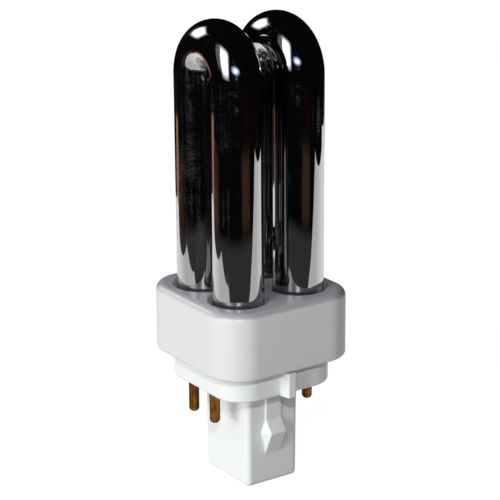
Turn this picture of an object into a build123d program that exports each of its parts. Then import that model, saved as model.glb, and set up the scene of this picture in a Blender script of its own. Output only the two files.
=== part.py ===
from build123d import *
import os
from math import radians, tan

# Quad-tube black-light lamp with a four-pin plug base, in millimetres.
# The origin is the centre of the base's seating face and +Z runs up the lamp.
# The two U-tubes stand one behind the other along Y, and each U spans X.

# Driving dimensions of the glass
lamp_height = 86.0          # seating face to the top of the bends
tube_diameter = 12.0
hole_gap = 0.95             # open ring between a leg and its hole in the collar
leg_web = 0.8               # collar left between the two holes of one U
pair_web = 2.8              # collar left between the holes of the two Us
leg_overhang = 2.0          # leg length below the sleeves of the collar
leg_end_dome = 0.75         # rounding of a leg's sealed end, as a share of the tube's radius
bridge_diameter = 6.0
bridge_rise = 8.0           # collar top to the axis of the fused bridge
bridge_round = 0.8
press_width = 7.4           # flat seal that carries the lead wires
press_thickness = 2.6
press_length = 2.8
press_round = 0.8
tip_diameter = 3.0          # sealed-off exhaust tip
tip_length = 2.0

# Driving dimensions of the collar that holds the glass
collar_height = 16.1
collar_corner = 8.2
collar_top_round = 1.9
collar_bottom_round = 0.8
rim_width = 2.9             # collar left outside the outermost holes
hole_edge_round = 0.3       # rounding of a hole's edge, as a share of the web beside it
deck_thickness = 2.4
collar_wall = 1.6
ledge_width = 0.6           # step inside the collar that the base seats against
sleeve_wall = 1.2
sleeve_rise = 3.2           # open wiring space between the base and the sleeves
cement_height = 4.0

# Driving dimensions of the base cap
flange_height = 6.5
flange_inset = 3.2          # the collar overhangs the flange by this much
flange_corner = 7.1
flange_round = 0.6
flange_wall = 1.2
floor_thickness = 2.0
seam_depth = 0.4            # shadow line under the collar
shoulder_height = 2.0
shoulder_fit = 0.1          # clearance between the shoulder and the collar wall
post_length = 24.2
post_x = 18.0
post_y = 14.6
post_draft = 0.45           # degrees
post_edge_round = 1.3
post_end_round = 1.2
post_wall = 1.5
post_end_wall = 1.6
boss_height = 1.6
boss_wall = 1.4

# Driving dimensions of the key rib on the flange
rib_width = 2.1
rib_reach = 2.6
rib_spread = 0.6            # how far each flank leans out towards the flange
rib_offset = -0.45
rib_drop = 0.5              # gap between the rib and the collar
rib_round = 0.3

# Driving dimensions of the latch ridges on the post
ridge_width = 4.2
ridge_step = 0.45           # height of the flat stretch beside the flange
ridge_peak = 2.6
ridge_flat_length = 8.0
ridge_rise_length = 3.0
ridge_fall_length = 5.7
ridge_flank = 0.5           # flank run for each millimetre of height
ridge_root = 0.8            # depth of the ridge inside the post wall

# Driving dimensions of the pins and their wires
pin_diameter = 2.4
pin_length = 7.45
pin_pitch = 8.8
shank_diameter = 2.0        # thinner stretch of a pin inside its boss
pin_wall = 0.65             # flange left outside each pin
shank_fit = 0.02
pin_tip_dome = 0.8          # rounding of the tip, as a share of the pin's radius
pin_socket_depth = 2.6      # blind hole in the pin's upper end that takes the wire
wire_diameter = 0.5
wire_fit = 0.3
wire_bend = 0.6
lead_pitch = 4.0

# Worked-out places of the glass
tube_radius = tube_diameter / 2
hole_radius = tube_radius + hole_gap
leg_spacing = 2 * hole_radius + leg_web
pair_spacing = 2 * hole_radius + pair_web
leg_x = leg_spacing / 2
pair_y = pair_spacing / 2
bend_z = lamp_height - tube_radius - leg_x

# Worked-out places of the collar and the base
collar_bottom = flange_height
collar_top = collar_bottom + collar_height
collar_width = 2 * (pair_y + hole_radius + rim_width)
flange_width = collar_width - 2 * flange_inset
shoulder_bottom = collar_bottom + seam_depth
shoulder_top = shoulder_bottom + shoulder_height
sleeve_bottom = shoulder_top + sleeve_rise
deck_bottom = collar_top - deck_thickness
leg_end = sleeve_bottom - leg_overhang
end_round = leg_end_dome * tube_radius
press_bottom = leg_end - press_length
hole_round = hole_edge_round * leg_web
boss_top = floor_thickness + boss_height

# Worked-out places of the pins and wires
pin_radius = pin_diameter / 2
shank_radius = shank_diameter / 2
pin_y = flange_width / 2 - pin_wall - pin_radius
pin_tip_round = pin_tip_dome * pin_radius
socket_floor = boss_top - pin_socket_depth
wire_radius = wire_diameter / 2
wire_run_z = (press_bottom + boss_top) / 2

os.makedirs("parts", exist_ok=True)


def rounded_square(width, corner, height):
    """A square with round corners about the lamp's axis, at a height above the seating face."""
    with BuildSketch(Plane.XY.offset(height)) as outline:
        RectangleRounded(width, width, corner)
    return outline.sketch


# Glass: two U-tubes fused by a bridge on the -X side, with sealed leg ends
with BuildPart() as discharge_tube:
    for y in (-pair_y, pair_y):
        with BuildLine(Plane.XZ.offset(-y)):
            Line((-leg_x, leg_end), (-leg_x, bend_z))
            ThreePointArc((-leg_x, bend_z), (0, bend_z + leg_x), (leg_x, bend_z))
            Line((leg_x, bend_z), (leg_x, leg_end))
        with BuildSketch(Plane((-leg_x, y, leg_end))):
            Circle(tube_radius)
        sweep()
    fillet(discharge_tube.edges().group_by(Axis.Z)[0], end_round)

    with BuildSketch(Plane.XZ.offset(-pair_y)):
        with Locations((-leg_x, collar_top + bridge_rise)):
            Circle(bridge_diameter / 2)
    extrude(amount=pair_spacing)
    fillet(discharge_tube.edges().filter_by(GeomType.BSPLINE), bridge_round)

    with BuildSketch(Plane.XY.offset(leg_end + end_round)):
        with Locations((leg_x, -pair_y), (leg_x, pair_y)):
            RectangleRounded(press_width, press_thickness, press_round)
    extrude(amount=-(end_round + press_length))

    with BuildSketch(Plane.XY.offset(leg_end + end_round)):
        with Locations((-leg_x, pair_y)):
            Circle(tip_diameter / 2)
    extrude(amount=-(end_round + tip_length))
discharge_tube.part.label = "discharge_tube"
export_step(discharge_tube.part, "parts/discharge_tube.step")

# Collar: an open-bottomed shell whose deck takes the four legs in sleeves
with BuildPart() as tube_collar:
    extrude(rounded_square(collar_width, collar_corner, collar_bottom), amount=collar_height)
    fillet(tube_collar.edges().group_by(Axis.Z)[-1], collar_top_round)
    fillet(tube_collar.edges().group_by(Axis.Z)[0], collar_bottom_round)

    skirt = rounded_square(collar_width - 2 * collar_wall, collar_corner - collar_wall, collar_bottom)
    extrude(skirt, amount=shoulder_top - collar_bottom, mode=Mode.SUBTRACT)
    inner_wall = collar_wall + ledge_width
    inside = rounded_square(collar_width - 2 * inner_wall, collar_corner - inner_wall, shoulder_top)
    extrude(inside, amount=deck_bottom - shoulder_top, mode=Mode.SUBTRACT)

    with BuildSketch(Plane.XY.offset(sleeve_bottom)):
        with GridLocations(leg_spacing, pair_spacing, 2, 2):
            Circle(hole_radius + sleeve_wall)
    extrude(amount=deck_bottom - sleeve_bottom)

    with BuildSketch(Plane.XY.offset(sleeve_bottom)):
        with GridLocations(leg_spacing, pair_spacing, 2, 2):
            Circle(hole_radius)
    extrude(amount=collar_top - sleeve_bottom, mode=Mode.SUBTRACT)
    deck_edges = tube_collar.faces().sort_by(Axis.Z)[-1].inner_wires().edges()
    fillet(deck_edges, hole_round)
tube_collar.part.label = "tube_collar"
export_step(tube_collar.part, "parts/tube_collar.step")

# Base cap: a hollow flange and plug post, with pin bosses, a key rib and two latch ridges
with BuildPart() as base_cap:
    extrude(rounded_square(flange_width, flange_corner, 0), amount=shoulder_bottom)
    fillet(base_cap.edges().group_by(Axis.Z)[0], flange_round)
    shoulder_width = collar_width - 2 * (collar_wall + shoulder_fit)
    shoulder_corner = collar_corner - collar_wall - shoulder_fit
    extrude(rounded_square(shoulder_width, shoulder_corner, shoulder_bottom), amount=shoulder_height)

    with BuildSketch():
        Rectangle(post_x, post_y)
    extrude(amount=-post_length, taper=post_draft)
    upright_edges = base_cap.edges().filter_by_position(Axis.Z, -post_length, 0, inclusive=(False, False))
    fillet(upright_edges, post_edge_round)
    fillet(base_cap.edges().group_by(Axis.Z)[0], post_end_round)

    cavity_width = flange_width - 2 * flange_wall
    cavity = rounded_square(cavity_width, flange_corner - flange_wall, floor_thickness)
    extrude(cavity, amount=shoulder_top - floor_thickness, mode=Mode.SUBTRACT)
    with BuildSketch(Plane.XY.offset(floor_thickness)):
        Rectangle(post_x - 2 * post_wall, post_y - 2 * post_wall)
    extrude(amount=-(floor_thickness + post_length - post_end_wall), taper=post_draft, mode=Mode.SUBTRACT)

    with BuildSketch(Plane.XY.offset(floor_thickness)):
        with GridLocations(pin_pitch, 2 * pin_y, 2, 2):
            Circle(shank_radius + boss_wall)
        boss_limit = flange_width - flange_wall
        RectangleRounded(boss_limit, boss_limit, flange_corner - flange_wall / 2, mode=Mode.INTERSECT)
    extrude(amount=boss_height)
    with BuildSketch():
        with GridLocations(pin_pitch, 2 * pin_y, 2, 2):
            Circle(shank_radius + shank_fit)
    extrude(amount=boss_top, mode=Mode.SUBTRACT)

    flange_face = flange_width / 2
    with BuildSketch() as rib_section:
        with BuildLine():
            Polyline(
                (flange_face - flange_wall, rib_offset - rib_width / 2 - rib_spread),
                (flange_face, rib_offset - rib_width / 2 - rib_spread),
                (flange_face + rib_reach, rib_offset - rib_width / 2),
                (flange_face + rib_reach, rib_offset + rib_width / 2),
                (flange_face, rib_offset + rib_width / 2 + rib_spread),
                (flange_face - flange_wall, rib_offset + rib_width / 2 + rib_spread),
                close=True,
            )
        make_face()
        fillet(rib_section.vertices().group_by(Axis.X)[-1], rib_round)
    extrude(amount=collar_bottom - rib_drop)

    ridge_stations = (
        (floor_thickness / 2, ridge_step),
        (-ridge_flat_length, ridge_step),
        (-ridge_flat_length - ridge_rise_length, ridge_peak),
        (-ridge_flat_length - ridge_rise_length - ridge_fall_length, 0),
    )
    for z, height in ridge_stations:
        post_face = post_x / 2 + min(z, 0) * tan(radians(post_draft))
        top = ridge_width / 2
        root = top + ridge_flank * (height + ridge_root)
        with BuildSketch(Plane.XY.offset(z)):
            with BuildLine():
                Polyline(
                    (post_face - ridge_root, -root),
                    (post_face + height, -top),
                    (post_face + height, top),
                    (post_face - ridge_root, root),
                    close=True,
                )
            make_face()
    ridge = loft(ruled=True)
    mirror(ridge, about=Plane.YZ)
base_cap.part.label = "base_cap"
export_step(base_cap.part, "parts/base_cap.step")

# Cement: one ring in the lower half of each sleeve, between the glass and the plastic
leg_places = [(x, y) for y in (-pair_y, pair_y) for x in (-leg_x, leg_x)]
for number, (x, y) in enumerate(leg_places, 1):
    with BuildPart() as cement_ring:
        with BuildSketch(Plane((x, y, sleeve_bottom))):
            Circle(hole_radius)
            Circle(tube_radius, mode=Mode.SUBTRACT)
        extrude(amount=cement_height)
    cement_ring.part.label = f"cement_ring_{number}"
    export_step(cement_ring.part, f"parts/cement_ring_{number}.step")

# Contact pins: round-tipped, shouldered under the flange, with a blind socket for the wire in the shank
pin_places = [(x, y) for y in (-pin_y, pin_y) for x in (-pin_pitch / 2, pin_pitch / 2)]
for number, (x, y) in enumerate(pin_places, 1):
    with BuildPart() as contact_pin:
        with BuildSketch(Plane((x, y, -pin_length))):
            Circle(pin_radius)
        extrude(amount=pin_length)
        fillet(contact_pin.edges().group_by(Axis.Z)[0], pin_tip_round)
        with BuildSketch(Plane((x, y, 0))):
            Circle(shank_radius)
        extrude(amount=boss_top)
        with BuildSketch(Plane((x, y, socket_floor))):
            Circle(wire_radius + wire_fit)
        extrude(amount=pin_socket_depth, mode=Mode.SUBTRACT)
    contact_pin.part.label = f"contact_pin_{number}"
    export_step(contact_pin.part, f"parts/contact_pin_{number}.step")

# Lead wires: two from each seal, down into the pins on that side
for number, (x, y) in enumerate(pin_places, 1):
    lead_x = leg_x + (lead_pitch / 2 if x > 0 else -lead_pitch / 2)
    lead_y = pair_y if y > 0 else -pair_y
    with BuildPart() as lead_wire:
        with BuildLine():
            FilletPolyline(
                (lead_x, lead_y, press_bottom),
                (lead_x, lead_y, wire_run_z),
                (x, y, wire_run_z),
                (x, y, socket_floor),
                radius=wire_bend,
            )
        with BuildSketch(Plane((lead_x, lead_y, press_bottom), z_dir=(0, 0, -1))):
            Circle(wire_radius)
        sweep()
    lead_wire.part.label = f"lead_wire_{number}"
    export_step(lead_wire.part, f"parts/lead_wire_{number}.step")
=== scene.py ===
from math import cos, pi, radians, sin, tan

import bpy
import numpy as np
from bpy.props import FloatProperty, FloatVectorProperty, PointerProperty
from mathutils import Matrix, Vector


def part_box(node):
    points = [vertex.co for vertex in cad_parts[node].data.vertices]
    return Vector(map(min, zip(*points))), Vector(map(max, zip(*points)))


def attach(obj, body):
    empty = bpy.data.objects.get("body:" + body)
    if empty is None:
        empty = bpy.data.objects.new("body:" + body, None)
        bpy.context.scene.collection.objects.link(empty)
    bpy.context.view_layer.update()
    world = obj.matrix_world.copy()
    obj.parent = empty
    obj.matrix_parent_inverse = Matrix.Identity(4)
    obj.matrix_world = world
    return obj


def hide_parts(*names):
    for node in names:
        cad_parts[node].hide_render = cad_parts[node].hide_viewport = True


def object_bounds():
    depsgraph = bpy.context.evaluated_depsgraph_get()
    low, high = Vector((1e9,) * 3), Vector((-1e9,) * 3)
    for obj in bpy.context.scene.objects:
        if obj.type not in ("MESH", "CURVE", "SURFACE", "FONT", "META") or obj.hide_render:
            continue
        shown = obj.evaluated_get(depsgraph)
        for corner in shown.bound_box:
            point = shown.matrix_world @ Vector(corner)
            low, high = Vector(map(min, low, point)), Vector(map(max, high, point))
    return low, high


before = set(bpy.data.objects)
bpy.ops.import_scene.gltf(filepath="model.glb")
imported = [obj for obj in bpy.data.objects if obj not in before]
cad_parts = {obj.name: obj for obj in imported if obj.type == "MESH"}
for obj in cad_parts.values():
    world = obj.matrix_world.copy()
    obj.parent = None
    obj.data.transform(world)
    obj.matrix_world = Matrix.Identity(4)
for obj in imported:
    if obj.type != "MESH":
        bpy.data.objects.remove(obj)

bl_info = {
    "name": "Quad-tube black-light lamp",
    "version": (1, 0, 0),
    "blender": (4, 5, 0),
    "location": "3D View > Sidebar > Lamp",
    "description": "Dresses the lamp's solids in black glass, plastic, brass and cement on a white stage",
    "category": "Object",
}

# Sizes read from the frame, in metres
MM = 0.001
CAD_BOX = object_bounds()
RING_LOW, RING_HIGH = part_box("cement_ring_4")
GLASS_LOW, GLASS_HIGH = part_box("discharge_tube")
LEG_X = (RING_LOW.x + RING_HIGH.x) / 2
LEG_Y = (RING_LOW.y + RING_HIGH.y) / 2
HOLE_RADIUS = (RING_HIGH.x - RING_LOW.x) / 2
TUBE_RADIUS = GLASS_HIGH.x - LEG_X
BEND_Z = GLASS_HIGH.z - TUBE_RADIUS - LEG_X
COLLAR_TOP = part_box("tube_collar")[1].z
FLOOR_Z = CAD_BOX[0].z

# Sockets of the colour Mix node, which share their names with those of its other data types
MIX_FACTOR, MIX_A, MIX_B, MIX_RESULT = 0, 6, 7, 2


def linear(hex_colour):
    """The linear RGBA colour of an sRGB hex value such as #C8A050."""
    srgb = np.array([int(hex_colour[i:i + 2], 16) for i in (1, 3, 5)]) / 255
    rgb = np.where(srgb <= 0.04045, srgb / 12.92, ((srgb + 0.055) / 1.055) ** 2.4)
    return (*rgb.tolist(), 1.0)


def colour_property(name, description, hex_colour):
    """A colour setting whose default is an sRGB hex value."""
    return FloatVectorProperty(
        name=name, description=description, size=4, subtype="COLOR", min=0, max=1, default=linear(hex_colour)
    )


def length_property(name, description, millimetres):
    """A length setting whose default is given in millimetres."""
    return FloatProperty(name=name, description=description, default=millimetres * MM, min=0, unit="LENGTH")


class GlassSettings(bpy.types.PropertyGroup):
    """Sizes and colours of the discharge tube."""
    leg_overhang: length_property("Leg overhang", "Length of a leg below the collar's sleeves", 2.0)
    end_round: length_property("End rounding", "Radius of the rounding at a leg's sealed end", 4.5)
    bridge_diameter: length_property("Bridge diameter", "Diameter of the fused bridge between two legs", 6.0)
    bridge_rise: length_property("Bridge rise", "Height of the bridge's axis above the collar", 8.0)
    bridge_flare: length_property("Bridge flare", "Radius of the fillet where the bridge meets a leg", 0.8)
    press_width: length_property("Seal width", "Width of a press seal", 7.4)
    press_thickness: length_property("Seal thickness", "Thickness of a press seal", 2.6)
    press_round: length_property("Seal rounding", "Rounding of a press seal's edges", 0.8)
    tip_diameter: length_property("Tip diameter", "Diameter of the exhaust tip", 3.0)
    tip_length: length_property("Tip length", "Length of the exhaust tip below its leg", 2.0)
    waviness: length_property("Waviness", "Depth of the unevenness of the drawn tube", 0.02)
    bend_flat: length_property("Bend flattening", "How far the inside of a bend is flattened", 1.5)
    colour: colour_property("Glass", "Colour of the black-light glass", "#030204")
    cast: colour_property("Violet cast", "Colour of the glass where it is thinner", "#040307")


class PlasticSettings(bpy.types.PropertyGroup):
    """Colours of the moulded collar and base."""
    collar: colour_property("Collar", "Colour of the collar", "#E0E0E0")
    collar_shade: colour_property("Collar shade", "Second shade of the collar", "#DBDBDD")
    base: colour_property("Base", "Colour of the base cap", "#EDF0EF")
    base_shade: colour_property("Base shade", "Second shade of the base cap", "#E8ECEB")


class MetalSettings(bpy.types.PropertyGroup):
    """Colours of the pins and wires."""
    brass: colour_property("Brass", "Colour of the pins where they are bright", "#865623")
    tarnish: colour_property("Tarnish", "Colour of the pins where they are dull", "#543315")
    # painted shade: a dark edge tint that darkens the pins' flanks
    edge: colour_property("Edge", "What grazing light keeps of the pins' shine", "#160904")
    tin: colour_property("Tinned wire", "Colour of the lead wires", "#C9C5BC")


class StageSettings(bpy.types.PropertyGroup):
    """The camera's place, which looks down on the lamp's front corner."""
    azimuth: FloatProperty(
        name="Azimuth", description="Turn of the camera about the lamp, from the -Y side towards +X",
        default=radians(55.57), subtype="ANGLE",
    )
    pitch: FloatProperty(
        name="Pitch", description="How far the camera looks down", default=radians(18.01), subtype="ANGLE"
    )
    roll: FloatProperty(
        name="Roll", description="Tilt of the camera about its own axis", default=radians(-0.378),
        subtype="ANGLE",
    )
    distance: length_property("Distance", "Distance of the camera from the lamp's axis", 437.92)
    height: length_property("Height", "Height of the camera above the seating face", 173.25)
    lens: FloatProperty(
        name="Lens", description="Focal length in millimetres on a 36 mm sensor", default=143.4,
        subtype="NONE",
    )


class LampSettings(bpy.types.PropertyGroup):
    """All settings of the lamp."""
    glass: PointerProperty(type=GlassSettings)
    plastic: PointerProperty(type=PlasticSettings)
    metal: PointerProperty(type=MetalSettings)
    stage: PointerProperty(type=StageSettings)


def add_node(tree, kind, inputs=None, **settings):
    """Adds one node, sets its properties, and fills its sockets with values or with links from sockets."""
    node = tree.nodes.new(kind)
    for key, value in settings.items():
        setattr(node, key, value)
    for key, value in (inputs or {}).items():
        if isinstance(value, bpy.types.NodeSocket):
            tree.links.new(value, node.inputs[key])
        else:
            node.inputs[key].default_value = value
    return node


def new_material(name):
    """An empty node material, with its tree, its coordinates and its output."""
    material = bpy.data.materials.new(name)
    material.use_nodes = True
    tree = material.node_tree
    tree.nodes.clear()
    coordinates = add_node(tree, "ShaderNodeTexCoord").outputs
    output = add_node(tree, "ShaderNodeOutputMaterial")
    return material, tree, coordinates, output


def black_light_glass(glass):
    """Cobalt-black tubing, drawn and bent in the flame.

    Nearly opaque, so it shows a black body with a violet cast under a mirror-bright, slightly streaked skin.
    A thin film of dust scatters some of the strongest light, which greys the skin in a soft, grainy band.
    """
    streak_length, streak_width, film_patch = 40 * MM, 0.9 * MM, 9 * MM
    grain_length, grain_width = 0.18 * MM, 3 * MM  # real dust is finer; drawn coarser so that it shows
    material, tree, coordinates, output = new_material("Black-light glass, drawn tube")
    stretched = add_node(
        tree, "ShaderNodeMapping",
        {"Vector": coordinates["UV"], "Scale": (1 / streak_length, 1 / streak_width, 1)},
    )
    streaks = add_node(tree, "ShaderNodeTexNoise", {"Vector": stretched.outputs[0], "Scale": 1, "Detail": 3})
    film = add_node(
        tree, "ShaderNodeTexNoise", {"Vector": coordinates["Object"], "Scale": 1 / film_patch, "Detail": 3}
    )
    laid = add_node(
        tree, "ShaderNodeMapping",
        {"Vector": coordinates["UV"], "Scale": (1 / grain_length, 1 / grain_width, 1)},
    )
    grain = add_node(tree, "ShaderNodeTexNoise", {"Vector": laid.outputs[0], "Scale": 1, "Detail": 2})
    colour = add_node(
        tree, "ShaderNodeMix", {MIX_FACTOR: film.outputs[0], MIX_A: glass.colour, MIX_B: glass.cast},
        data_type="RGBA",
    )
    polish = add_node(
        tree, "ShaderNodeMapRange",
        {"Value": streaks.outputs[0], "From Min": 0.4, "From Max": 0.8, "To Min": 0.015, "To Max": 0.06},
    )
    place = add_node(tree, "ShaderNodeSeparateXYZ", {"Vector": coordinates["Object"]})
    unhandled = add_node(
        tree, "ShaderNodeMapRange",
        {"Value": place.outputs["X"], "From Min": -LEG_X, "From Max": LEG_X, "To Min": 0.62, "To Max": 0.42},
    )
    film_left = add_node(
        tree, "ShaderNodeMath", {0: film.outputs[0], 1: unhandled.outputs[0]}, operation="MULTIPLY"
    )
    wiped = add_node(
        tree, "ShaderNodeMath", {0: film_left.outputs[0], 1: streaks.outputs[0]}, operation="MULTIPLY"
    )
    dust = add_node(
        tree, "ShaderNodeMapRange",
        {"Value": wiped.outputs[0], "From Min": 0.115, "From Max": 0.18, "To Max": 0.5},
    )
    grit = add_node(
        tree, "ShaderNodeBump", {"Height": grain.outputs[0], "Strength": 1.0, "Distance": 0.07 * MM}
    )
    skin = add_node(
        tree, "ShaderNodeBump", {"Height": streaks.outputs[0], "Strength": 0.15, "Distance": 0.004 * MM}
    )
    facing = add_node(tree, "ShaderNodeLayerWeight", {"Blend": 0.5})
    mirror = add_node(
        tree, "ShaderNodeMapRange",
        {"Value": facing.outputs["Facing"], "From Min": 0.28, "From Max": 0.6, "To Min": 0.5, "To Max": 0.85},
    )
    shader = add_node(
        tree, "ShaderNodeBsdfPrincipled",
        {
            "Base Color": colour.outputs[MIX_RESULT], "Roughness": polish.outputs[0], "IOR": 3.5,
            "Specular IOR Level": mirror.outputs[0], "Normal": skin.outputs[0],
            "Coat Weight": dust.outputs[0], "Coat Roughness": 0.12, "Coat IOR": 1.7,
            "Coat Normal": grit.outputs[0],
        },
    )
    tree.links.new(shader.outputs[0], output.inputs[0])
    return material


def moulded_plastic(name, colour, shade, roughness, grain, flow, edge_round, shaded_top=False):
    """White thermoplastic out of a polished mould.

    The cooled melt leaves two close shades in slow swirls, and the mould's spark grain leaves a fine
    satin that breaks up the highlights. Sharp edges catch the light as softly as the mould left them.
    With a shaded top, what faces up is mixed towards grey as painted shade and has a stronger sheen.
    """
    gloss_spread, side_sheen = 0.03, 0.3
    material, tree, coordinates, output = new_material(name)
    swirl = add_node(
        tree, "ShaderNodeTexNoise",
        {"Vector": coordinates["Object"], "Scale": 1 / flow, "Detail": 3, "Distortion": 0.6},
    )
    satin = add_node(
        tree, "ShaderNodeTexNoise", {"Vector": coordinates["Object"], "Scale": 1 / grain, "Detail": 2}
    )
    mixed = add_node(
        tree, "ShaderNodeMix", {MIX_FACTOR: swirl.outputs[0], MIX_A: colour, MIX_B: shade}, data_type="RGBA"
    )
    skin_colour, sheen = mixed.outputs[MIX_RESULT], side_sheen
    if shaded_top:
        # painted shade: faces that look up are mixed towards a darker grey than the lamps leave them
        top_shade_depth, painted_shade_grey, top_sheen = 0.7, linear("#95959F"), 1.0
        upright = add_node(tree, "ShaderNodeSeparateXYZ", {"Vector": coordinates["Normal"]})
        level = add_node(
            tree, "ShaderNodeMapRange", {"Value": upright.outputs["Z"], "From Min": 0.25, "From Max": 0.65}
        )
        top_shade_mask = add_node(
            tree, "ShaderNodeMath", {0: level.outputs[0], 1: top_shade_depth}, operation="MULTIPLY"
        )
        top_shaded = add_node(
            tree, "ShaderNodeMix", {MIX_FACTOR: top_shade_mask.outputs[0], MIX_A: skin_colour, MIX_B: painted_shade_grey},
            data_type="RGBA",
        )
        shine = add_node(
            tree, "ShaderNodeMapRange", {"Value": level.outputs[0], "To Min": side_sheen, "To Max": top_sheen}
        )
        skin_colour, sheen = top_shaded.outputs[MIX_RESULT], shine.outputs[0]
    gloss = add_node(
        tree, "ShaderNodeMapRange",
        {
            "Value": satin.outputs[0], "From Min": 0.3, "From Max": 0.7,
            "To Min": roughness - gloss_spread, "To Max": roughness + gloss_spread,
        },
    )
    edges = add_node(tree, "ShaderNodeBevel", {"Radius": edge_round}, samples=6)
    skin = add_node(
        tree, "ShaderNodeBump",
        {"Height": satin.outputs[0], "Strength": 0.1, "Distance": 0.006 * MM, "Normal": edges.outputs[0]},
    )
    shader = add_node(
        tree, "ShaderNodeBsdfPrincipled",
        {
            "Base Color": skin_colour, "Roughness": gloss.outputs[0], "IOR": 1.53,
            "Specular IOR Level": sheen, "Normal": skin.outputs[0],
        },
    )
    tree.links.new(shader.outputs[0], output.inputs[0])
    return material


def drawn_brass(metal):
    """Brass rod, drawn through a die and dulled by handling: brown tarnish with brighter lengthwise lines.

    Its edge tint is dark, a painted shade on the flanks in place of the dark room they would mirror, and so
    outlines the rod.
    """
    line_width, line_length, stain = 0.3 * MM, 9 * MM, 1.6 * MM
    material, tree, coordinates, output = new_material("Drawn brass, tarnished")
    lengthwise = add_node(
        tree, "ShaderNodeMapping",
        {"Vector": coordinates["Object"], "Scale": (1 / line_width, 1 / line_width, 1 / line_length)},
    )
    lines = add_node(tree, "ShaderNodeTexNoise", {"Vector": lengthwise.outputs[0], "Scale": 1, "Detail": 2})
    stains = add_node(
        tree, "ShaderNodeTexNoise", {"Vector": coordinates["Object"], "Scale": 1 / stain, "Detail": 4}
    )
    both = add_node(tree, "ShaderNodeMath", {0: lines.outputs[0], 1: stains.outputs[0]}, operation="ADD")
    bright = add_node(
        tree, "ShaderNodeMapRange", {"Value": both.outputs[0], "From Min": 0.8, "From Max": 1.25}
    )
    colour = add_node(
        tree, "ShaderNodeMix", {MIX_FACTOR: bright.outputs[0], MIX_A: metal.tarnish, MIX_B: metal.brass},
        data_type="RGBA",
    )
    dullness = add_node(
        tree, "ShaderNodeMapRange", {"Value": bright.outputs[0], "To Min": 0.42, "To Max": 0.24}
    )
    skin = add_node(
        tree, "ShaderNodeBump", {"Height": lines.outputs[0], "Strength": 0.3, "Distance": 0.01 * MM}
    )
    shader = add_node(
        tree, "ShaderNodeBsdfPrincipled",
        {
            "Base Color": colour.outputs[MIX_RESULT], "Metallic": 1.0, "Roughness": dullness.outputs[0],
            # the dark edge tint paints shade on the flanks
            "Specular Tint": metal.edge, "Normal": skin.outputs[0],
        },
    )
    tree.links.new(shader.outputs[0], output.inputs[0])
    return material


def tinned_wire(metal):
    """Copper wire dipped in tin: pale, soft-edged reflections with slight ripples where the tin ran."""
    ripple = 0.8 * MM
    material, tree, coordinates, output = new_material("Tinned copper wire")
    runs = add_node(
        tree, "ShaderNodeTexNoise", {"Vector": coordinates["Object"], "Scale": 1 / ripple, "Detail": 3}
    )
    gloss = add_node(tree, "ShaderNodeMapRange", {"Value": runs.outputs[0], "To Min": 0.2, "To Max": 0.45})
    skin = add_node(
        tree, "ShaderNodeBump", {"Height": runs.outputs[0], "Strength": 0.3, "Distance": 0.03 * MM}
    )
    shader = add_node(
        tree, "ShaderNodeBsdfPrincipled",
        {"Base Color": metal.tin, "Metallic": 1.0, "Roughness": gloss.outputs[0], "Normal": skin.outputs[0]},
    )
    tree.links.new(shader.outputs[0], output.inputs[0])
    return material


def capping_cement():
    """Lamp cement, a baked paste of mineral flour and resin: off-white, matt and gritty."""
    grit = 0.35 * MM
    material, tree, coordinates, output = new_material("Baked capping cement")
    grains = add_node(
        tree, "ShaderNodeTexNoise", {"Vector": coordinates["Object"], "Scale": 1 / grit, "Detail": 4}
    )
    colour = add_node(
        tree, "ShaderNodeMix",
        {MIX_FACTOR: grains.outputs[0], MIX_A: linear("#B9AB92"), MIX_B: linear("#E2D8C4")},
        data_type="RGBA",
    )
    skin = add_node(
        tree, "ShaderNodeBump", {"Height": grains.outputs[0], "Strength": 0.6, "Distance": 0.1 * MM}
    )
    shader = add_node(
        tree, "ShaderNodeBsdfPrincipled",
        {"Base Color": colour.outputs[MIX_RESULT], "Roughness": 0.9, "Normal": skin.outputs[0]},
    )
    tree.links.new(shader.outputs[0], output.inputs[0])
    return material


def ring_surface(rings, along, around, joined=False):
    """A closed skin over rings of points: quads between neighbouring rings, and a fan at both ends.

    rings is an array of rows, columns and xyz. With joined set, the last ring meets the first instead of
    ending in fans. A corner's UV is its row's place along and its column's place around, which has one
    value more than the ring has points, so that the seam's last corner ends at a full turn.
    """
    rows, columns, _ = rings.shape
    steps = rows if joined else rows - 1
    row, column = np.meshgrid(np.arange(steps), np.arange(columns), indexing="ij")
    corner_row = np.stack([row, row + 1, row + 1, row], -1).reshape(-1, 4)
    corner_column = np.stack([column, column, column + 1, column + 1], -1).reshape(-1, 4)
    quads = corner_row % rows * columns + corner_column % columns
    uv = np.stack([along[corner_row], around[corner_column]], -1).reshape(-1, 2)
    points = rings.reshape(-1, 3)
    if joined:
        return points, quads.tolist(), uv
    here = np.arange(columns)
    after = (here + 1) % columns
    last = (rows - 1) * columns
    start_pole = np.full(columns, rows * columns)
    fans = np.concatenate([
        np.stack([start_pole, here, after], -1),
        np.stack([start_pole + 1, last + after, last + here], -1),
    ])
    middle = (around[:-1] + around[1:]) / 2
    start_around = np.stack([middle, around[:-1], around[1:]], -1)
    fan_around = np.concatenate([start_around, start_around[:, [0, 2, 1]]])
    fan_along = np.repeat([along[0], along[-1]], 3 * columns)
    fan_uv = np.stack([fan_along, fan_around.ravel()], -1)
    poles = rings[[0, -1]].mean(1)
    return np.concatenate([points, poles]), quads.tolist() + fans.tolist(), np.concatenate([uv, fan_uv])


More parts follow.
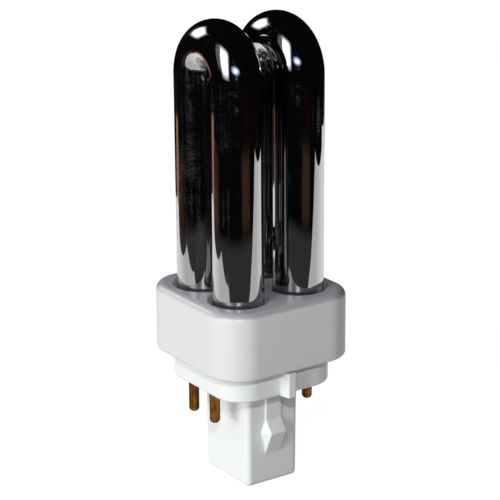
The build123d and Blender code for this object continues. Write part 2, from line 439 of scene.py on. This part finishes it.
def add_piece(name, surfaces, material):
    """One smooth mesh object at the origin, joined from surfaces of points, faces and corner UVs."""
    starts = np.cumsum([0] + [len(points) for points, _, _ in surfaces])
    points = np.concatenate([points for points, _, _ in surfaces])
    faces = [
        [corner + int(start) for corner in face]
        for start, (_, faces, _) in zip(starts, surfaces) for face in faces
    ]
    mesh = bpy.data.meshes.new(name)
    mesh.from_pydata(points.tolist(), [], faces)
    uv = np.concatenate([uv for _, _, uv in surfaces]).astype(np.float32)
    mesh.uv_layers.new(name="along_around").data.foreach_set("uv", uv.ravel())
    mesh.shade_smooth()
    mesh.materials.append(material)
    piece = bpy.data.objects.new(name, mesh)
    bpy.context.scene.collection.objects.link(piece)
    return piece


def full_turn(columns):
    """Angles of a ring's columns, with the closing angle at the end."""
    return np.linspace(0, 2 * pi, columns + 1)


def unevenness(along, angle):
    """Between 0 and 1: a sum of slow sines along and around the tube, as drawn glass has."""
    waves = (  # wavelength along the tube, waves around it, phase and weight
        (41 * MM, 1, 2.6, 0.40),
        (23 * MM, 2, 0.4, 0.30),
        (11 * MM, 3, 1.9, 0.20),
        (7 * MM, 5, 0.7, 0.10),
    )
    heights = [
        weight * np.sin(2 * pi * along / length + count * angle + phase)
        for length, count, phase, weight in waves
    ]
    return 0.5 + 0.5 * sum(heights)


def bent_tube(y, glass):
    """One U of the discharge tube, at a place along Y.

    The path climbs one leg, turns through a half circle and comes down the other leg. A ring stands square
    to it at each station: point = path + radius * (cos a * outwards + sin a * Y). The radius is the tube's,
    less a quarter-circle dome at both sealed ends and less the glass's unevenness, which grows at the feet.
    Inside the bend the cosine is cut by a share that swells smoothly from both legs, so it is flatter there.
    """
    columns, dome_rings, leg_rings, bend_rings = 96, 9, 72, 84
    leg_end = RING_LOW.z - glass.leg_overhang
    straight = leg_end + glass.end_round
    dome = np.linspace(0, pi / 2, dome_rings)
    leg = np.linspace(straight, BEND_Z, leg_rings)[1:-1]
    rise = np.concatenate([leg_end + glass.end_round * (1 - np.cos(dome)), leg])
    dome_width = TUBE_RADIUS - glass.end_round * (1 - np.sin(dome))
    width = np.concatenate([dome_width, np.full(leg.shape, TUBE_RADIUS)])
    turn = np.linspace(pi, 0, bend_rings)
    level = np.zeros(rise.shape)
    path = np.concatenate([
        np.stack([level - LEG_X, level + y, rise], -1),
        np.stack([LEG_X * np.cos(turn), 0 * turn + y, BEND_Z + LEG_X * np.sin(turn)], -1),
        np.stack([level + LEG_X, level + y, rise[::-1]], -1),
    ])
    outwards = np.concatenate([
        np.stack([level - 1, level, level], -1),
        np.stack([np.cos(turn), 0 * turn, np.sin(turn)], -1),
        np.stack([level + 1, level, level], -1),
    ])
    radius = np.concatenate([width, np.full(bend_rings, TUBE_RADIUS), width[::-1]])
    along = np.concatenate([[0], np.cumsum(np.linalg.norm(np.diff(path, axis=0), axis=1))])
    angle = full_turn(columns)
    foot_depth, foot_reach = 2.0, 8 * MM
    foot = 1 + foot_depth * np.exp(-np.abs(path[:, 2] - COLLAR_TOP) / foot_reach)
    dip = unevenness(along[:, None] + y, angle[None, :-1]) / (1 + foot_depth)
    skin = radius[:, None] - glass.waviness * (foot[:, None] * dip)
    across = np.array([0.0, 1.0, 0.0])
    flat_lead, flat_run = 2 * MM, 12 * MM
    from_top = np.abs(along - along[-1] / 2)
    swell = np.clip((pi / 2 * LEG_X + flat_lead - from_top) / flat_run, 0, 1)
    squash = swell ** 2 * (3 - 2 * swell) * glass.bend_flat / TUBE_RADIUS
    out = np.cos(angle[:-1]) * np.where(np.cos(angle[:-1]) < 0, 1 - squash[:, None], 1)
    ring = out[..., None] * outwards[:, None, :] + np.sin(angle[:-1])[:, None] * across
    return ring_surface(path[:, None, :] + skin[..., None] * ring, along, angle * TUBE_RADIUS)


def fused_bridge(glass):
    """The bridge between the two -X legs.

    Rings about a line along Y. Each point lies its distance from the leg's cylinder, y = leg + root of
    (R squared - x squared) + distance, so that the ends follow the round legs. At the ends the radius
    flares by a quarter circle, tangent to the leg, and a last ring closes the tube inside the leg.
    """
    columns, flare_rings, middle_rings, depth = 48, 8, 6, 1.0 * MM
    radius, flare = glass.bridge_diameter / 2, glass.bridge_flare
    angle = full_turn(columns)
    bend = np.linspace(0, pi / 2, flare_rings)
    ring_radius = np.concatenate([[radius], radius + flare * (1 - np.sin(bend))])
    distance = np.concatenate([[-depth], flare * (1 - np.cos(bend))])
    side = -ring_radius[:, None] * np.sin(angle[:-1])
    rise = ring_radius[:, None] * np.cos(angle[:-1])
    reach = -LEG_Y + np.sqrt(TUBE_RADIUS ** 2 - side ** 2) + distance[:, None]
    share = np.linspace(1, -1, middle_rings)[1:-1, None]
    reach = np.concatenate([reach, share * reach[-1], -reach[::-1]])
    side = np.concatenate([side, np.repeat(side[-1:], len(share), 0), side[::-1]])
    rise = np.concatenate([rise, np.repeat(rise[-1:], len(share), 0), rise[::-1]])
    rings = np.stack([side - LEG_X, reach, rise + COLLAR_TOP + glass.bridge_rise], -1)
    return ring_surface(rings, rings[:, 0, 1], angle * radius)


def stub(x, y, top, bottom, width, thickness, rounding):
    """A closed stub under a leg: one rounded rectangle, carried down from inside the leg.

    The outline is a circle of the rounding's radius whose four quarters are moved apart to the corners.
    """
    columns = 40
    angle = full_turn(columns)
    quarter = angle[:-1] + angle[1] / 2
    flat_x = np.sign(np.cos(quarter)) * (width / 2 - rounding) + rounding * np.cos(quarter)
    flat_y = np.sign(np.sin(quarter)) * (thickness / 2 - rounding) + rounding * np.sin(quarter)
    height = np.linspace(top, bottom, 6)
    level = np.ones((len(height), 1))
    rings = np.stack([level * flat_x + x, level * flat_y + y, height[:, None] + 0 * flat_x], -1)
    return ring_surface(rings, height, angle * rounding)


def cement_bead(x, y):
    """The cement round one leg: a rounded section carried once round, with its top dipped and lumpy.

    The section is a superellipse between the glass and the sleeve: radius = middle + half width * c,
    height = middle + half height * s, where c and s are a cosine and a sine raised to a small power. The
    upper half sinks by slow sines of the angle round the leg.
    """
    rows, columns, squareness, lump = 72, 24, 0.35, 0.5 * MM
    inset = 0.01 * MM
    section = full_turn(columns)
    turn = full_turn(rows)
    across = np.sign(np.cos(section)) * np.abs(np.cos(section)) ** squareness
    upright = np.sign(np.sin(section)) * np.abs(np.sin(section)) ** squareness
    half_width = (HOLE_RADIUS - TUBE_RADIUS) / 2 - inset
    middle = (HOLE_RADIUS + TUBE_RADIUS) / 2
    half_height = (RING_HIGH.z - RING_LOW.z) / 2
    radius = (middle + half_width * across)[None, :-1]
    sink = lump * (0.5 + 0.3 * np.sin(3 * turn + x / MM) + 0.2 * np.sin(7 * turn + y / MM))
    height = (RING_LOW.z + RING_HIGH.z) / 2 + half_height * upright[None, :-1]
    height = height - sink[:-1, None] * np.clip(upright[None, :-1], 0, 1)
    ring_x = x + radius * np.cos(turn[:-1, None])
    ring_y = y + radius * np.sin(turn[:-1, None])
    rings = np.stack([ring_x, ring_y, height], -1)
    return ring_surface(rings, turn * middle, section * half_width, joined=True)


def finish_nodes(prefix, material):
    """Gives every node of the frame whose name starts so its material."""
    for name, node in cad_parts.items():
        if name.startswith(prefix):
            node.data.materials.clear()
            node.data.materials.append(material)


class LAMP_OT_discharge_glass(bpy.types.Operator):
    """Blow the two U-tubes, their bridge, their press seals and the exhaust tip"""
    bl_idname = "lamp.discharge_glass"
    bl_label = "Discharge glass"

    def execute(self, context):
        glass = context.scene.lamp.glass
        leg_end = RING_LOW.z - glass.leg_overhang
        stub_top = leg_end + glass.end_round
        seals = [
            stub(LEG_X, y, stub_top, GLASS_LOW.z, glass.press_width, glass.press_thickness, glass.press_round)
            for y in (-LEG_Y, LEG_Y)
        ]
        tip_end = leg_end - glass.tip_length
        tip_width = glass.tip_diameter
        tip = stub(-LEG_X, LEG_Y, stub_top, tip_end, tip_width, tip_width, tip_width / 2)
        tubes = [bent_tube(y, glass) for y in (-LEG_Y, LEG_Y)]
        surfaces = [*tubes, fused_bridge(glass), *seals, tip]
        piece = add_piece("discharge_glass", surfaces, black_light_glass(glass))
        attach(piece, "root")
        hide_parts("discharge_tube")
        return {"FINISHED"}


class LAMP_OT_collar(bpy.types.Operator):
    """Finish the collar in satin white plastic"""
    bl_idname = "lamp.collar"
    bl_label = "Collar"

    def execute(self, context):
        plastic = context.scene.lamp.plastic
        # A glass-filled resin that stands the tube's heat: neutral white, satin, with a soft sheen on its rim
        material = moulded_plastic(
            "Heat-proof polyester, satin moulded", plastic.collar, plastic.collar_shade,
            roughness=0.36, grain=0.5 * MM, flow=14 * MM,  # spark grain is finer; drawn coarser to show
            # the top faces get painted shade, a grey mix, and a stronger sheen
            edge_round=0.2 * MM, shaded_top=True,
        )
        finish_nodes("tube_collar", material)
        return {"FINISHED"}


class LAMP_OT_base_cap(bpy.types.Operator):
    """Finish the plug base in glossier, cooler white plastic"""
    bl_idname = "lamp.base_cap"
    bl_label = "Base cap"

    def execute(self, context):
        plastic = context.scene.lamp.plastic
        # The same family of resin without filler: brighter, cooler and glossier than the collar
        material = moulded_plastic(
            "Polyester, gloss moulded", plastic.base, plastic.base_shade,
            roughness=0.27, grain=0.4 * MM, flow=9 * MM, edge_round=0.5 * MM,
        )
        finish_nodes("base_cap", material)
        return {"FINISHED"}


class LAMP_OT_contact_pins(bpy.types.Operator):
    """Finish the four pins in dull drawn brass"""
    bl_idname = "lamp.contact_pins"
    bl_label = "Contact pins"

    def execute(self, context):
        finish_nodes("contact_pin", drawn_brass(context.scene.lamp.metal))
        return {"FINISHED"}


class LAMP_OT_cement(bpy.types.Operator):
    """Lay a bead of cement round each leg, inside its sleeve"""
    bl_idname = "lamp.cement"
    bl_label = "Cement beads"

    def execute(self, context):
        material = capping_cement()
        places = [(x, y) for y in (-LEG_Y, LEG_Y) for x in (-LEG_X, LEG_X)]
        for number, (x, y) in enumerate(places, 1):
            piece = add_piece(f"cement_bead_{number}", [cement_bead(x, y)], material)
            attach(piece, "root")
            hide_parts(f"cement_ring_{number}")
        return {"FINISHED"}


class LAMP_OT_lead_wires(bpy.types.Operator):
    """Finish the lead wires in tinned copper"""
    bl_idname = "lamp.lead_wires"
    bl_label = "Lead wires"

    def execute(self, context):
        finish_nodes("lead_wire", tinned_wire(context.scene.lamp.metal))
        return {"FINISHED"}


# The studio, as the glass mirrors it: bearings are from the camera's own, positive to the right
ROOM = 11.5                      # metres from the lamp to the dark walls
LIGHTS = (  # name, bearing, elevation, width and height in degrees, distance in metres, radiance
    ("key_window", -43, 27, 28, 50, 6.0, 2.9),
    ("low_window", -46, 13, 44, 8, 6.0, 14.2),
    ("back_window", -125, 28, 24, 24, 6.0, 2.0),
    ("flash", 1, 31, 7, 2.8, 0.35, 200.0),
    ("back_fill", 180, 8, 30, 14, 6.0, 11.0),
)
GLINTS = (  # what the glass sees of them: the same, then the softness of the edges and the hex colour
    ("key_pane", -43, 27, 37, 59, 6.1, 5.0, 0.34, "#FFFFFF"),
    ("curtain", -64, 27, 16, 50, 6.2, 0.3, 0.25, "#FFFFFF"),
    ("back_pane", -125, 28, 33, 33, 6.1, 5.0, 0.38, "#FFFFFF"),
    ("flash_halo", 1, 31, 36, 18, 0.37, 6.0, 0.5, "#B4BEFF"),
)
# Edge of the white sheet that the lamp stands on: towards the camera and to its right, in millimetres
SHEET_EDGE = (
    (60, -185), (-90, -176), (-138, -220), (-208, -120), (-260, 0), (-303, 175), (-198, 283), (-175, 259),
    (62, 306), (92, 165), (112, 80), (116, 0), (126, -104),
)
MAT_REACH = 208                  # the dark grey mat in front of the sheet ends here, in millimetres
CARDS = (  # name, hex colour, first and last bearing, nearest and farthest in millimetres, softness
    ("oak_board", "#BC8A75", -114, -132, 228, 366, 0.12),
    ("dark_wood", "#4C321F", -76, -120, 176, 330, 0.35),
    ("brown_card", "#543E2C", 12, 58, 196, 336, 0.3),
    ("red_wood", "#1E0C10", 14, 62, 290, 470, 0.45),
)


def from_camera(stage, forward, right):
    """Floor place for lengths towards the camera and to its right: a turn by the camera's azimuth."""
    a = stage.azimuth
    forward, right = np.asarray(forward), np.asarray(right)
    return forward * sin(a) + right * cos(a), right * sin(a) - forward * cos(a)


def add_stage(name, points, faces, material, seen_by_glass_only=True):
    """A stage surface. Those that only the glass sees stay out of the picture and of the light."""
    mesh = bpy.data.meshes.new(name)
    mesh.from_pydata(points.reshape(-1, 3).tolist(), [], faces)
    mesh.materials.append(material)
    card = bpy.data.objects.new(name, mesh)
    bpy.context.scene.collection.objects.link(card)
    if seen_by_glass_only:
        card.visible_camera = False
        card.visible_diffuse = False
        card.visible_shadow = False
    return card


def place_on_card(card, place, faces):
    """Gives a card the UV map that its soft edges read: 0 to 1 across it and up it."""
    corners = place.reshape(-1, 2)[np.ravel(faces)]
    card.data.uv_layers.new(name="place").data.foreach_set("uv", corners.ravel())


def strip_faces(columns, rows=1, closed=False):
    """Quads of a grid of points, row by row, which may close on itself sideways."""
    steps = columns if closed else columns - 1
    row, column = np.meshgrid(np.arange(rows), np.arange(steps), indexing="ij")
    after = (column + 1) % columns
    here, above = row * columns, (row + 1) * columns
    corners = [here + column, here + after, above + after, above + column]
    return np.stack(corners, -1).reshape(-1, 4).tolist()


def card_material(name, colour, strength=1.0, softness=0.0, circular=False):
    """A card that shines at its own colour, and isn't sampled as a lamp.

    Its edges fade out over a share of its size, from each side or, where it is circular, from all round.
    """
    material, tree, coordinates, output = new_material(name)
    glow = add_node(tree, "ShaderNodeEmission", {"Color": colour, "Strength": strength})
    shown = glow.outputs[0]
    edges = []
    if softness:
        place = add_node(
            tree, "ShaderNodeVectorMath", {0: coordinates["UV"], 1: (0.5, 0.5, 0)}, operation="SUBTRACT"
        )
        if circular:
            middle = add_node(tree, "ShaderNodeVectorMath", {0: place.outputs[0]}, operation="LENGTH")
            edges = [middle.outputs["Value"]]
        else:
            sides = add_node(tree, "ShaderNodeVectorMath", {0: place.outputs[0]}, operation="ABSOLUTE")
            edges = add_node(tree, "ShaderNodeSeparateXYZ", {"Vector": sides.outputs[0]}).outputs[:2]
    for off in edges:
        fade = add_node(
            tree, "ShaderNodeMapRange", {"Value": off, "From Min": 0.5, "From Max": 0.5 - softness},
            interpolation_type="SMOOTHSTEP",
        )
        clear = add_node(tree, "ShaderNodeBsdfTransparent")
        faded = add_node(tree, "ShaderNodeMixShader", {0: fade.outputs[0], 1: clear.outputs[0], 2: shown})
        shown = faded.outputs[0]
    tree.links.new(shown, output.inputs[0])
    material.cycles.emission_sampling = "NONE"
    return material


def seen_directly(tree):
    """1 for rays of the camera, of mirrors and of clear glass, and 0 for the others."""
    path = add_node(tree, "ShaderNodeLightPath").outputs
    seen = path["Is Camera Ray"]
    for kind in ("Is Glossy Ray", "Is Transmission Ray"):
        either = add_node(tree, "ShaderNodeMath", {0: seen, 1: path[kind]}, operation="ADD", use_clamp=True)
        seen = either.outputs[0]
    return seen


def white_paper():
    """Background paper: white to the eye, with part of its light from the lamps so that it takes a shadow."""
    lit, dimming = 0.35, -0.12  # a little less than white to the camera, so that the shadow shows
    material, tree, _, output = new_material("White background paper")
    camera = add_node(tree, "ShaderNodeLightPath").outputs["Is Camera Ray"]
    strength = add_node(
        tree, "ShaderNodeMath", {0: camera, 1: dimming, 2: seen_directly(tree)}, operation="MULTIPLY_ADD"
    )
    paper = add_node(tree, "ShaderNodeBsdfDiffuse", {"Color": (lit, lit, lit, 1)})
    own = add_node(tree, "ShaderNodeEmission", {"Strength": strength.outputs[0]})
    both = add_node(tree, "ShaderNodeAddShader", {0: paper.outputs[0], 1: own.outputs[0]})
    tree.links.new(both.outputs[0], output.inputs[0])
    material.cycles.emission_sampling = "NONE"
    return material


def dark_table():
    """The table beyond the sheet: a grey mat close by, black further off."""
    mat_grey, reach, edge = linear("#4C4C4E"), MAT_REACH * MM, 8 * MM
    material, tree, coordinates, output = new_material("Dark table")
    distance = add_node(tree, "ShaderNodeVectorMath", {0: coordinates["Object"]}, operation="LENGTH")
    beyond = add_node(
        tree, "ShaderNodeMapRange",
        {"Value": distance.outputs["Value"], "From Min": reach - edge, "From Max": reach + edge},
    )
    colour = add_node(
        tree, "ShaderNodeMix",
        {MIX_FACTOR: beyond.outputs[0], MIX_A: mat_grey, MIX_B: linear("#0A0A0A")}, data_type="RGBA",
    )
    glow = add_node(tree, "ShaderNodeEmission", {"Color": colour.outputs[MIX_RESULT]})
    tree.links.new(glow.outputs[0], output.inputs[0])
    material.cycles.emission_sampling = "NONE"
    return material


def add_floor_and_cards(stage):
    """The white floor, and round it the dark table, the cards and the dark room that the glass mirrors."""
    columns, floor_reach, lift = 64, 5.0, 0.05 * MM
    angle = np.linspace(0, 2 * pi, columns, endpoint=False)
    reach = np.array([0.05, floor_reach])[:, None]
    flat = np.full((2, columns), FLOOR_Z)
    disc = np.stack([reach * np.cos(angle), reach * np.sin(angle), flat], -1)
    inner_disc = list(range(columns))
    add_stage("floor", disc, strip_faces(columns, closed=True) + [inner_disc], white_paper(), False)

    edge = np.array(SHEET_EDGE) * MM
    edge_x, edge_y = from_camera(stage, edge[:, 0], edge[:, 1])
    out = ROOM / np.hypot(edge_x, edge_y)
    level = np.full((2, len(edge)), FLOOR_Z + lift)
    table = np.stack([[edge_x, edge_x * out], [edge_y, edge_y * out], level], -1)
    add_stage("table", table, strip_faces(len(edge), closed=True), dark_table())

    share = np.linspace(0, 1, 12)
    for layer, (name, colour, first, last, near, far, softness) in enumerate(CARDS, 2):
        bearing = np.radians(first + share * (last - first))
        ring = np.array([near, far])[:, None] * MM
        card_x, card_y = from_camera(stage, ring * np.cos(bearing), ring * np.sin(bearing))
        points = np.stack([card_x, card_y, np.full(card_x.shape, FLOOR_Z + layer * lift)], -1)
        faces = strip_faces(len(share))
        card = add_stage(name, points, faces, card_material(name, linear(colour), softness=softness))
        place_on_card(card, np.stack(np.broadcast_arrays(share, np.array([[0.0], [1.0]])), -1), faces)

    rise = np.linspace(radians(-1), radians(89.9), 16)[:, None]
    out, up = np.cos(rise), np.sin(rise)
    walls = np.stack([out * np.cos(angle), out * np.sin(angle), up + 0 * angle], -1)
    faces = strip_faces(columns, rows=len(rise) - 1, closed=True)
    add_stage("dark_room", ROOM * walls, faces, card_material("Dark room", linear("#0A0A0A")))


def facing_lamp(stage, bearing, elevation, distance):
    """A place in the room, and the turn of a flat light or card there that faces the lamp."""
    level = distance * cos(radians(elevation))
    x, y = from_camera(stage, level * cos(radians(bearing)), level * sin(radians(bearing)))
    place = Vector((float(x), float(y), distance * sin(radians(elevation))))
    aim = Vector((0, 0, (COLLAR_TOP + FLOOR_Z) / 2))
    return place, (place - aim).to_track_quat("Z", "Y").to_matrix()


def add_lights(stage):
    """The windows and the flash, each a flat light as wide and tall as its angles, turned to the lamp."""
    for name, bearing, elevation, width, height, distance, radiance in LIGHTS:
        light = bpy.data.lights.new(name, "AREA")
        light.shape = "ELLIPSE" if name == "flash" else "RECTANGLE"
        light.size = 2 * distance * tan(radians(width) / 2)
        light.size_y = 2 * distance * tan(radians(height) / 2)
        face = light.size * light.size_y * (pi / 4 if name == "flash" else 1)
        light.energy = radiance * pi * face
        lamp = bpy.data.objects.new(name, light)
        place, turn = facing_lamp(stage, bearing, elevation, distance)
        lamp.matrix_world = Matrix.Translation(place) @ turn.to_4x4()
        lamp.visible_camera = False
        lamp.visible_glossy = name == "flash"
        bpy.context.scene.collection.objects.link(lamp)


def add_glints(stage):
    """The windows and the flash as the glass sees them: flat cards with soft edges, turned to the lamp."""
    corners = np.array([(0, 0), (1, 0), (1, 1), (0, 1)])
    faces = [[0, 1, 2, 3]]
    for name, bearing, elevation, width, height, distance, radiance, softness, colour in GLINTS:
        place, turn = facing_lamp(stage, bearing, elevation, distance)
        size = 2 * distance * np.tan(np.radians([width, height]) / 2)
        flat = np.concatenate([(corners - 0.5) * size, np.zeros((4, 1))], 1)
        points = flat @ np.array(turn).T + np.array(place)
        material = card_material(name, linear(colour), radiance, softness, name.startswith("flash"))
        place_on_card(add_stage(name, points, faces, material), corners, faces)


def add_world():
    """A world that is white where it is seen, and a faint fill light elsewhere."""
    fill = 0.03
    world = bpy.data.worlds.new("White studio")
    world.use_nodes = True
    tree = world.node_tree
    tree.nodes.clear()
    strength = add_node(
        tree, "ShaderNodeMapRange", {"Value": seen_directly(tree), "To Min": fill, "To Max": 1.0}
    )
    glow = add_node(tree, "ShaderNodeBackground", {"Color": (1, 1, 1, 1), "Strength": strength.outputs[0]})
    add_node(tree, "ShaderNodeOutputWorld", {"Surface": glow.outputs[0]})
    bpy.context.scene.world = world


def add_camera(stage):
    """The camera: out along its azimuth and up, turned about Z, tipped down and rolled."""
    camera = bpy.data.cameras.new("camera")
    camera.sensor_width = 36
    camera.lens = stage.lens
    holder = bpy.data.objects.new("camera", camera)
    x, y = from_camera(stage, stage.distance, 0)
    turn = Matrix.Rotation(stage.azimuth, 4, "Z") @ Matrix.Rotation(pi / 2 - stage.pitch, 4, "X")
    place = Matrix.Translation((float(x), float(y), stage.height))
    holder.matrix_world = place @ turn @ Matrix.Rotation(stage.roll, 4, "Z")
    bpy.context.scene.collection.objects.link(holder)
    bpy.context.scene.camera = holder


class LAMP_OT_stage(bpy.types.Operator):
    """Set the white floor, the cards, the lights, the world and the camera"""
    bl_idname = "lamp.stage"
    bl_label = "Stage"

    def execute(self, context):
        stage = context.scene.lamp.stage
        add_floor_and_cards(stage)
        add_lights(stage)
        add_glints(stage)
        add_world()
        add_camera(stage)
        context.scene.view_settings.view_transform = "Standard"
        return {"FINISHED"}


class LAMP_PT_panel(bpy.types.Panel):
    """Lists the lamp's pieces and their settings."""
    bl_idname = "LAMP_PT_panel"
    bl_label = "Black-light lamp"
    bl_space_type = "VIEW_3D"
    bl_region_type = "UI"
    bl_category = "Lamp"

    def draw(self, context):
        for operator in OPERATORS:
            self.layout.operator(operator.bl_idname)
        for group in ("glass", "plastic", "metal", "stage"):
            box = self.layout.box()
            settings = getattr(context.scene.lamp, group)
            for key in settings.__annotations__:
                box.prop(settings, key)


OPERATORS = (
    LAMP_OT_discharge_glass, LAMP_OT_collar, LAMP_OT_base_cap, LAMP_OT_contact_pins, LAMP_OT_cement,
    LAMP_OT_lead_wires, LAMP_OT_stage,
)
GROUPS = (GlassSettings, PlasticSettings, MetalSettings, StageSettings, LampSettings)


def register():
    """Registers the settings, the operators and the panel."""
    for cls in (*GROUPS, *OPERATORS, LAMP_PT_panel):
        bpy.utils.register_class(cls)
    bpy.types.Scene.lamp = PointerProperty(type=LampSettings)


def unregister():
    """Takes them away again, last first."""
    del bpy.types.Scene.lamp
    for cls in reversed((*GROUPS, *OPERATORS, LAMP_PT_panel)):
        bpy.utils.unregister_class(cls)


def main():
    """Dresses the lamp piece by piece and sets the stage."""
    register()
    bpy.ops.lamp.discharge_glass()
    bpy.ops.lamp.collar()
    bpy.ops.lamp.base_cap()
    bpy.ops.lamp.contact_pins()
    bpy.ops.lamp.cement()
    bpy.ops.lamp.lead_wires()
    bpy.ops.lamp.stage()


if __name__ == "__main__":
    main()
